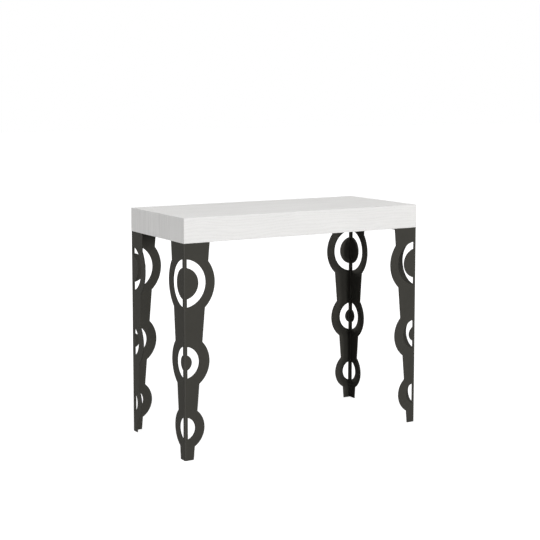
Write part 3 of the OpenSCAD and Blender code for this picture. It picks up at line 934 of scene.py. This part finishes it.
def head_rings(screw, drive):
    """From the floor of the drive, over the domed head, to the seat. Above the seat, heights are negative."""
    radius, height = screw.head_radius, screw.head_height
    drive_radius = DRIVE_RADIUS * radius
    flat = FLAT_RADIUS * radius
    rings = [
        Ring(-DRIVE_FLOOR * height, drive(drive_radius), False),
        Ring(-height + DRIVE_BEVEL, drive(drive_radius), False),
        Ring(-height, drive(drive_radius + DRIVE_BEVEL), False),
    ]
    for step in range(DOME_STEPS + 1):
        angle = math.radians(90) * step / DOME_STEPS
        ring_radius = flat + (radius - flat) * math.sin(angle)
        ring_height = -DOME_FOOT * height - DOME_RISE * height * math.cos(angle)
        rings.append(Ring(ring_height, plain(ring_radius), True))
    rings.append(Ring(-RIM_FOOT * height, plain(radius), True))
    rings.append(Ring(0.0, plain(SEAT_RADIUS * radius), False))
    return rings


print("The head of a leg screw has", len(head_rings(example, hexagon)), "rings")

# %% [markdown]
# Screws: threads
#
# On the shank each ring has a ridge on one side. From ring to ring it moves round, by one turn in each pitch,
# and so the ridges make the thread. Sweeping a triangle along a helix would make one too, but as a separate
# shell. A wood screw narrows to a point, and the others end blunt.

# %% Screw threads
Thread = namedtuple("Thread", "pitch depth ridge point drive")
THREADS = {
    "furniture screw": Thread(pitch=0.0026, depth=0.0008, ridge=0.45, point=0.0, drive=hexagon),
    "machine screw": Thread(pitch=0.0008, depth=0.0004, ridge=1.0, point=0.0, drive=hexagon),
    "wood screw": Thread(pitch=0.0018, depth=0.0006, ridge=0.5, point=0.003, drive=lobed),
}
ROWS_PER_TURN = 6
SHARP_TIP = 0.15
BLUNT_TIP = 0.88


def shank_rings(screw, thread):
    """From the seat to the tip, with a ridge that goes round once in each pitch."""
    core = screw.radius - thread.depth
    step = thread.pitch / ROWS_PER_TURN
    count = round(screw.length / step)

    def threaded(height):
        fade_in = min(1.0, height / thread.pitch)
        narrow = 1.0
        if thread.point > 0.0:
            narrow = min(1.0, SHARP_TIP + (screw.length - height) / thread.point)
        elif height > screw.length - thread.pitch / 2:
            narrow = BLUNT_TIP

        def radius_at(angle):
            turn = (height / thread.pitch - angle / (2 * math.pi)) % 1.0
            ridge = max(0.0, 1.0 - abs(turn - 0.5) * 2 / thread.ridge)
            return narrow * (core + thread.depth * fade_in * ridge)

        return radius_at

    heights = [screw.length * i / count for i in range(count + 1)]
    return [Ring(height, threaded(height), True) for height in heights]


print("Its shank has", len(shank_rings(example, THREADS["furniture screw"])), "rings")

# %% [markdown]
# Screws: lofting the rings
#
# Each kind and size of screw is made once, as one closed body: faces join each ring to the next, and a fan
# closes each end. A finer mesh would hardly show, because screws are small and there are many of them. The
# dome and the thread are shaded smooth, while the drive keeps its sharp corners.

# %% Screw patterns
COLUMNS = 24


def loft(name, rings):
    """A closed body through rings of points, with a fan at each end."""
    body = bmesh.new()
    angles = [2 * math.pi * i / COLUMNS for i in range(COLUMNS)]
    loops = []
    for ring in rings:
        reach = [ring.radius_at(angle) for angle in angles]
        corners = [(r * math.cos(a), r * math.sin(a), ring.height) for r, a in zip(reach, angles)]
        loops.append([body.verts.new(corner) for corner in corners])
    for ring, lower, upper in zip(rings, loops, loops[1:]):
        for i in range(COLUMNS):
            j = (i + 1) % COLUMNS
            body.faces.new((lower[i], lower[j], upper[j], upper[i])).smooth = ring.soft
    for ring, loop in ((rings[0], loops[0]), (rings[-1], loops[-1])):
        middle = body.verts.new((0.0, 0.0, ring.height))
        for i in range(COLUMNS):
            body.faces.new((loop[i], loop[(i + 1) % COLUMNS], middle))
    bmesh.ops.recalc_face_normals(body, faces=body.faces)
    mesh = bpy.data.meshes.new(name)
    body.to_mesh(mesh)
    body.free()
    return bpy.data.objects.new(name, mesh)


def screw_pattern(name, kind, screw):
    """One screw of that kind and size, with its seat at the origin and its tip towards +Z."""
    thread = THREADS[kind]
    return loft(name, head_rings(screw, thread.drive) + shank_rings(screw, thread))


print("Patterns can be made of", list(THREADS))

# %% [markdown]
# Screws: standing them in their holes
#
# Every screw stands on a point of a small mesh that also carries its direction and the number of its
# pattern. The tree turns a copy of the pattern to the direction, and gives it a random twist about its own
# axis, because no two screws stop at the same angle. Copies placed in a loop would need the same sums in
# code, and the tree does them for all points at once.


# %% Screw tree
def screw_tree():
    """Stands a pattern on every point, turned to the point's direction and twisted at random."""
    tree, given, end = new_group(
        "stand screws",
        "GeometryNodeTree",
        {"Seats": "Geometry", "Patterns": "Collection", "Size": 1.0, "Twist seed": 1, "Finish": "Material"},
        {"Screws": "Geometry"},
    )
    wanted = add(tree, "GeometryNodeInputNamedAttribute", {"Name": "direction"}, data_type="FLOAT_VECTOR")
    number = add(tree, "GeometryNodeInputNamedAttribute", {"Name": "pattern"}, data_type="INT")
    aligned = add(tree, "FunctionNodeAlignRotationToVector", {"Vector": wanted.outputs[0]}, axis="Z")
    any_angle = {3: 2 * math.pi, "Seed": given["Twist seed"]}
    angle = add(tree, "FunctionNodeRandomValue", any_angle, data_type="FLOAT")
    twist_inputs = {"Axis": (0.0, 0.0, 1.0), "Angle": angle.outputs[1]}
    twist = add(tree, "FunctionNodeAxisAngleToRotation", twist_inputs).outputs[0]
    turned = {"Rotation": aligned.outputs[0], "Rotate By": twist}
    rotation = add(tree, "FunctionNodeRotateRotation", turned, rotation_space="LOCAL").outputs[0]
    collection = {"Collection": given["Patterns"], "Separate Children": True, "Reset Children": True}
    patterns = add(tree, "GeometryNodeCollectionInfo", collection).outputs[0]
    placing = {
        "Points": given["Seats"], "Instance": patterns, "Pick Instance": True,
        "Instance Index": number.outputs[0], "Rotation": rotation, "Scale": given["Size"],
    }
    placed = add(tree, "GeometryNodeInstanceOnPoints", placing).outputs[0]
    real = add(tree, "GeometryNodeRealizeInstances", {"Geometry": placed}).outputs[0]
    finished = add(tree, "GeometryNodeSetMaterial", {"Geometry": real, "Material": given["Finish"]})
    tree.links.new(finished.outputs[0], end.inputs["Screws"])
    return tree


stand_screws = screw_tree()
print("Screw tree:", len(stand_screws.nodes), "nodes")

# %% Make the screws
TWIST_SEED = 7


def make_screws(node, body, tree):
    """Replaces the plain screws of a piece by finished ones."""
    screws = [read_screw(points) for points in loose_parts(node)]
    sizes = [(kind_of(node, s), round(s.radius, 5), round(s.length, 4)) for s in screws]
    kinds = sorted(set(sizes))
    patterns = bpy.data.collections.new("patterns")
    for number, size in enumerate(kinds):
        patterns.objects.link(screw_pattern(f"pattern_{number}", size[0], screws[sizes.index(size)]))
    seats = points_or_lines("seats", [s.seat for s in screws])
    directions = seats.attributes.new("direction", "FLOAT_VECTOR", "POINT")
    directions.data.foreach_set("vector", [value for s in screws for value in s.direction])
    numbers = seats.attributes.new("pattern", "INT", "POINT")
    numbers.data.foreach_set("value", [kinds.index(size) for size in sizes])
    inputs = {"Patterns": patterns, "Twist seed": TWIST_SEED, "Finish": metal_finishes["zinc_steel"]}
    made = grow(node + "_threaded", tree, seats, inputs)
    for pattern in list(patterns.objects):
        bpy.data.objects.remove(pattern)
    bpy.data.collections.remove(patterns)
    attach(made, body)
    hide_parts(node)
    print(made.name, "has", len(screws), "screws of", len(kinds), "kinds")


SCREW_BODIES = {
    "rear_leg_screws": "rear_half",
    "rear_bracket_screws": "rear_half",
    "catch_screws": "rear_half",
    "front_leg_screws": "front_half",
    "front_bracket_screws": "front_half",
    "keeper_screws": "front_half",
}
for node, body in SCREW_BODIES.items():
    make_screws(node, body, stand_screws)

# %% [markdown]
# Welds
#
# Each leg has a plate in its head, held by four short stitches of weld, two along each flange. A weld bead
# is a row of small overlapping pools, so it has ripples along it, and it tapers at its ends. It follows a
# line, so a curve with a round profile fits it best: the line is cut fine, and the size of the profile rises
# and falls along it. The beads lie in the corner under the plate, seen only from below. What their tree
# shares with that of the dowels is made into helpers first.

# %% Profile along a line
def along_curve(tree):
    """How far a point of a curve is from the curve's start, and from its nearer end."""
    along = add(tree, "GeometryNodeSplineParameter").outputs["Length"]
    whole = add(tree, "GeometryNodeSplineLength").outputs["Length"]
    return along, calculate(tree, "MINIMUM", along, calculate(tree, "SUBTRACT", whole, along))


def draw_profile(tree, given, end, lines, step, profile, size):
    """Cuts lines into steps, draws a profile of changing size along them, and ends the tree with that."""
    curve = add(tree, "GeometryNodeMeshToCurve", {"Mesh": lines}).outputs[0]
    fine = add(tree, "GeometryNodeResampleCurve", {"Curve": curve, "Length": step}, mode="LENGTH").outputs[0]
    sweep = {"Curve": fine, "Profile Curve": profile, "Scale": size, "Fill Caps": True}
    swept = add(tree, "GeometryNodeCurveToMesh", sweep).outputs[0]
    smooth = add(tree, "GeometryNodeSetShadeSmooth", {"Geometry": swept}).outputs[0]
    real = add(tree, "GeometryNodeRealizeInstances", {"Geometry": smooth}).outputs[0]
    finished = add(tree, "GeometryNodeSetMaterial", {"Geometry": real, "Material": given["Finish"]})
    tree.links.new(finished.outputs[0], end.inputs[0])
    return tree


print("Helpers for what follows a line: along_curve, draw_profile")

# %% Weld tree
BEAD_SIDES = 10
STEPS_PER_RIPPLE = 6
BEAD_TIP = 0.35


def weld_tree():
    """Lays a rippled bead along every edge."""
    tree, given, end = new_group(
        "lay weld beads",
        "GeometryNodeTree",
        {
            "Stitches": "Geometry", "Bead radius": 0.0021, "Ripple length": 0.0017, "Ripple height": 0.16,
            "End length": 0.003, "Finish": "Material",
        },
        {"Beads": "Geometry"},
    )
    along, to_end = along_curve(tree)
    phase = calculate(tree, "DIVIDE", along, given["Ripple length"])
    wave = calculate(tree, "ABSOLUTE", calculate(tree, "SINE", calculate(tree, "MULTIPLY", phase, math.pi)))
    ripple = calculate(tree, "MULTIPLY", calculate(tree, "SUBTRACT", wave, 1.0), given["Ripple height"])
    near_end = calculate(tree, "DIVIDE", to_end, given["End length"])
    taper = spread(tree, near_end, BEAD_TIP, 1.0, 0.0, 1.0)
    share = calculate(tree, "MULTIPLY", taper, calculate(tree, "ADD", ripple, 1.0))
    size = calculate(tree, "MULTIPLY", share, given["Bead radius"])
    circle = {"Resolution": BEAD_SIDES, "Radius": 1.0}
    profile = add(tree, "GeometryNodeCurvePrimitiveCircle", circle).outputs[0]
    step = calculate(tree, "DIVIDE", given["Ripple length"], STEPS_PER_RIPPLE)
    return draw_profile(tree, given, end, given["Stitches"], step, profile, size)


lay_welds = weld_tree()
print("Weld tree:", len(lay_welds.nodes), "nodes")

# %% Lay the welds
STITCH_LENGTH = 0.024
STITCH_PLACES = (0.25, 0.75)


def stitches_of(plate):
    """Both ends of each stitch of a leg plate, along its two outer sides, at its underside."""
    low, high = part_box(plate)
    outer = [low[i] if abs(low[i]) > abs(high[i]) else high[i] for i in range(2)]
    inner = [high[i] if outer[i] == low[i] else low[i] for i in range(2)]
    stitches = []
    for axis in range(2):
        for share in STITCH_PLACES:
            middle = outer[axis] + share * (inner[axis] - outer[axis])
            for side in (-0.5, 0.5):
                point = Vector((outer[0], outer[1], low[2]))
                point[axis] = middle + side * STITCH_LENGTH
                stitches.append(point)
    return stitches


for half in ("rear", "front"):
    ends = stitches_of(f"{half}_left_leg_plate") + stitches_of(f"{half}_right_leg_plate")
    stitches = points_or_lines("stitches", ends, in_pairs=True)
    welds = grow(f"{half}_welds", lay_welds, stitches, {"Finish": leg_finish})
    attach(welds, f"{half}_half")
    print(welds.name, "has", len(ends) // 2, "stitches")

# %% [markdown]
# Dowels
#
# Three beech dowels line up the halves. A dowel has straight flutes, so that the glue can get out of its
# hole, and a chamfer at each end. Both follow from a profile along a line: the flutes are points of the
# circle that are pulled in, and the chamfer is the profile growing smaller near the ends.

# %% Dowel tree
POINTS_PER_FLUTE = 4
STEPS_PER_CHAMFER = 2


def dowel_tree():
    """Makes a fluted dowel along every edge."""
    tree, given, end = new_group(
        "turn dowels",
        "GeometryNodeTree",
        {
            "Axes": "Geometry", "Radius": 0.004, "Flutes": 18, "Flute depth": 0.00035, "Chamfer": 0.001,
            "Finish": "Material",
        },
        {"Dowels": "Geometry"},
    )
    cut = calculate(tree, "DIVIDE", given["Chamfer"], given["Radius"])
    near_end = calculate(tree, "DIVIDE", along_curve(tree)[1], given["Chamfer"])
    narrow = calculate(tree, "MULTIPLY", cut, spread(tree, near_end, 1.0, 0.0, 0.0, 1.0))
    size = calculate(tree, "SUBTRACT", 1.0, narrow)

    points = calculate(tree, "MULTIPLY", given["Flutes"], POINTS_PER_FLUTE)
    circle = {"Resolution": points, "Radius": given["Radius"]}
    profile = add(tree, "GeometryNodeCurvePrimitiveCircle", circle).outputs[0]
    index = add(tree, "GeometryNodeInputIndex").outputs[0]
    place_in_flute = calculate(tree, "MODULO", index, POINTS_PER_FLUTE)
    in_flute = calculate(tree, "LESS_THAN", place_in_flute, 1.0)
    depth = calculate(tree, "DIVIDE", given["Flute depth"], given["Radius"])
    pull = calculate(tree, "SUBTRACT", 1.0, calculate(tree, "MULTIPLY", in_flute, depth))
    at = add(tree, "GeometryNodeInputPosition").outputs[0]
    pulled = add(tree, "ShaderNodeVectorMath", {0: at, "Scale": pull}, operation="SCALE").outputs[0]
    fluted = add(tree, "GeometryNodeSetPosition", {"Geometry": profile, "Position": pulled}).outputs[0]

    step = calculate(tree, "DIVIDE", given["Chamfer"], STEPS_PER_CHAMFER)
    return draw_profile(tree, given, end, given["Axes"], step, fluted, size)


turn_dowels = dowel_tree()
print("Dowel tree:", len(turn_dowels.nodes), "nodes")

# %% Turn the dowels
ends = []
for points in loose_parts("alignment_dowels"):
    low, high = box_of(points)
    middle = (low + high) / 2
    ends += [(middle.x, low.y, middle.z), (middle.x, high.y, middle.z)]
dowel_radius = (high.x - low.x) / 2
axes = points_or_lines("axes", ends, in_pairs=True)
inputs = {"Radius": dowel_radius, "Finish": wood_finishes["beech"]}
dowels = grow("fluted_dowels", turn_dowels, axes, inputs)
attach(dowels, "front_half")
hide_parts("alignment_dowels")
print("Dowels:", len(ends) // 2, "of", round(2000 * dowel_radius, 2), "mm")
